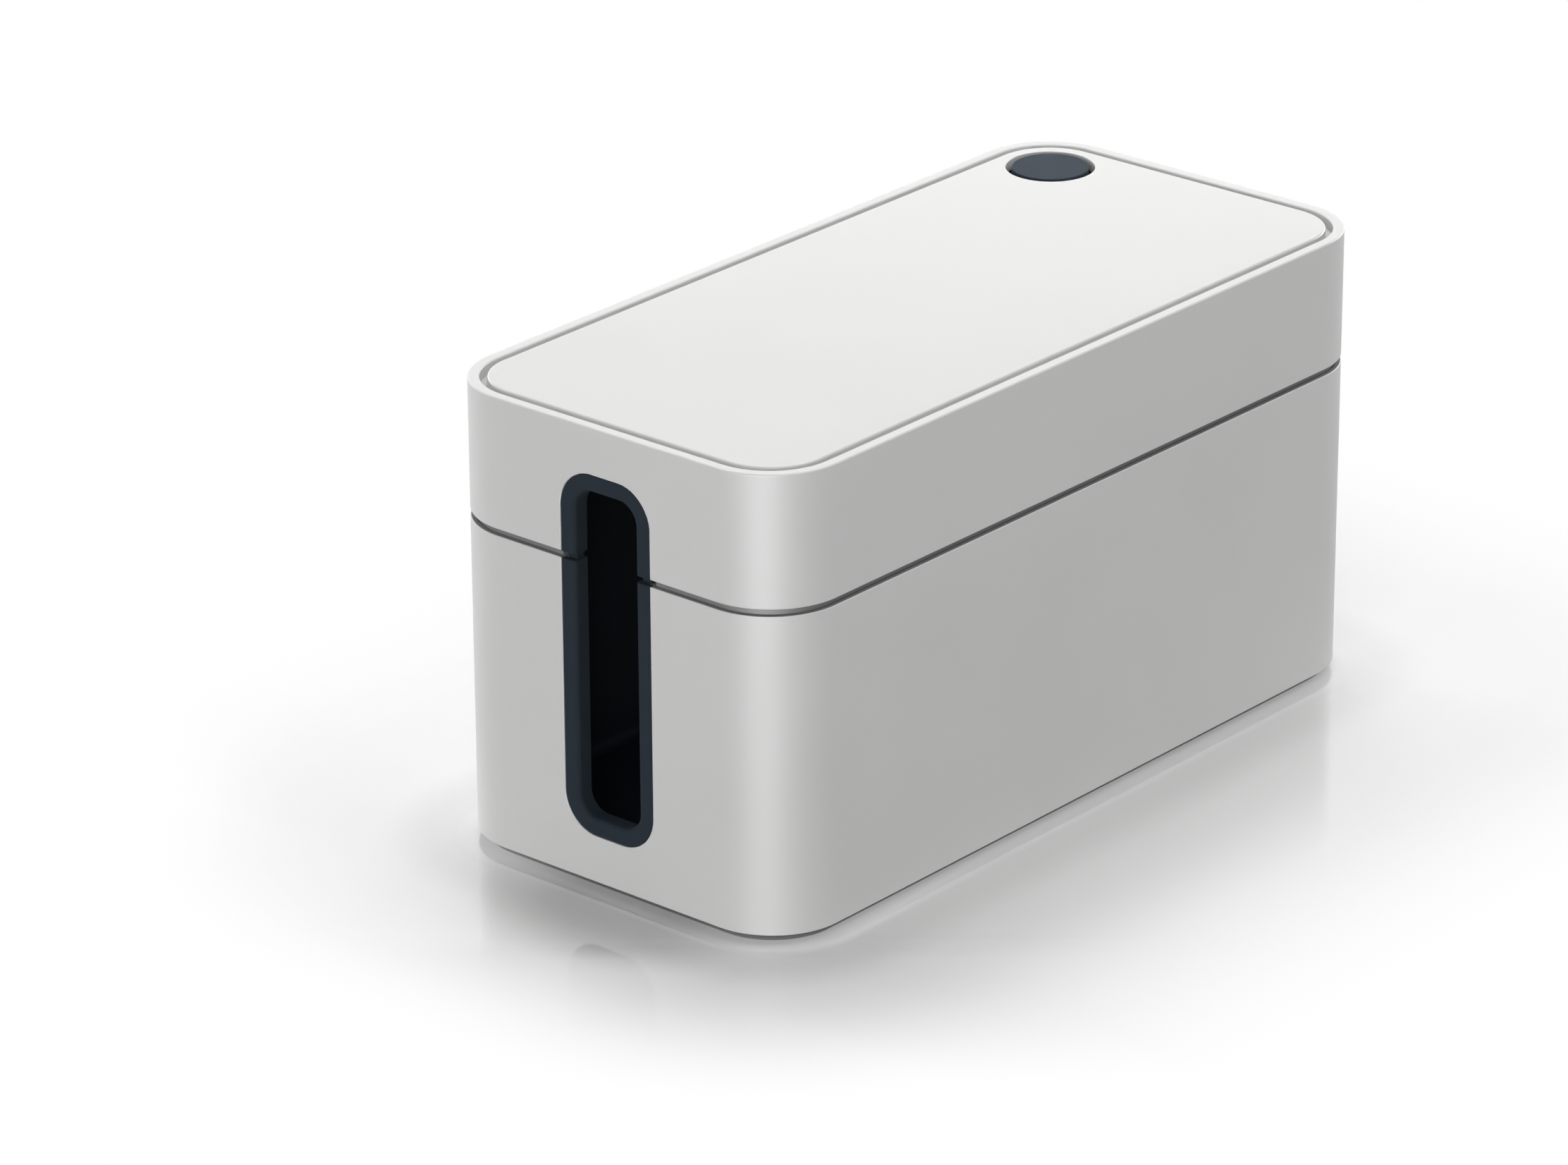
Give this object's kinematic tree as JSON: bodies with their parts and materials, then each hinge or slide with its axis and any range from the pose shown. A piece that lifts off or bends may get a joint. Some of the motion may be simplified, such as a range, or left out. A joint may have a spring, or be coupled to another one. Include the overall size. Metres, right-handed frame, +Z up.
{
  "type": "cable management box",
  "caption": "Rectangular plastic box that hides a socket strip, with a lift-off lid, a flush top pad, rubber-lined end slots and a round corner cable outlet with a pull-out cap.",
  "frame": {"origin": "on the surface the box stands on, under the middle of the box", "axes": "+X along the box towards the end that is nearer the round outlet, +Z up, +Y towards the long side that is nearer the outlet"},
  "size_m": [0.246, 0.116, 0.128],
  "materials": {
    "casing": "fine satin moulding texture",
    "pad": "soft-touch satin",
    "adhesive": "translucent film",
    "grommet": "matte rubber",
    "bridge": "matte moulded",
    "screw": "zinc plated",
    "cap": "soft-touch rubber",
    "foot": "matte rubber"
  },
  "bodies": {
    "base": {"base_tray": "casing", "left_base_grommet": "grommet", "right_base_grommet": "grommet", "foot_front_left": "foot", "foot_front_right": "foot", "foot_rear_left": "foot", "foot_rear_right": "foot"},
    "lid": {"lid_shell": "casing", "lid_pad": "pad", "pad_adhesive": "adhesive", "left_lid_grommet": "grommet", "right_lid_grommet": "grommet", "outlet_bridge": "bridge", "bridge_screws": "screw"},
    "cap": {"outlet_cap": "cap"}
  },
  "joints": [
    {"name": "lid_lift", "type": "slide", "parent": "base", "child": "lid", "axis": [0, 0, 1], "range_m": [0, 0.06]},
    {"name": "cap_pull", "type": "slide", "parent": "lid", "child": "cap", "axis": [0, 0, 1], "range_m": [0, 0.016]}
  ]
}
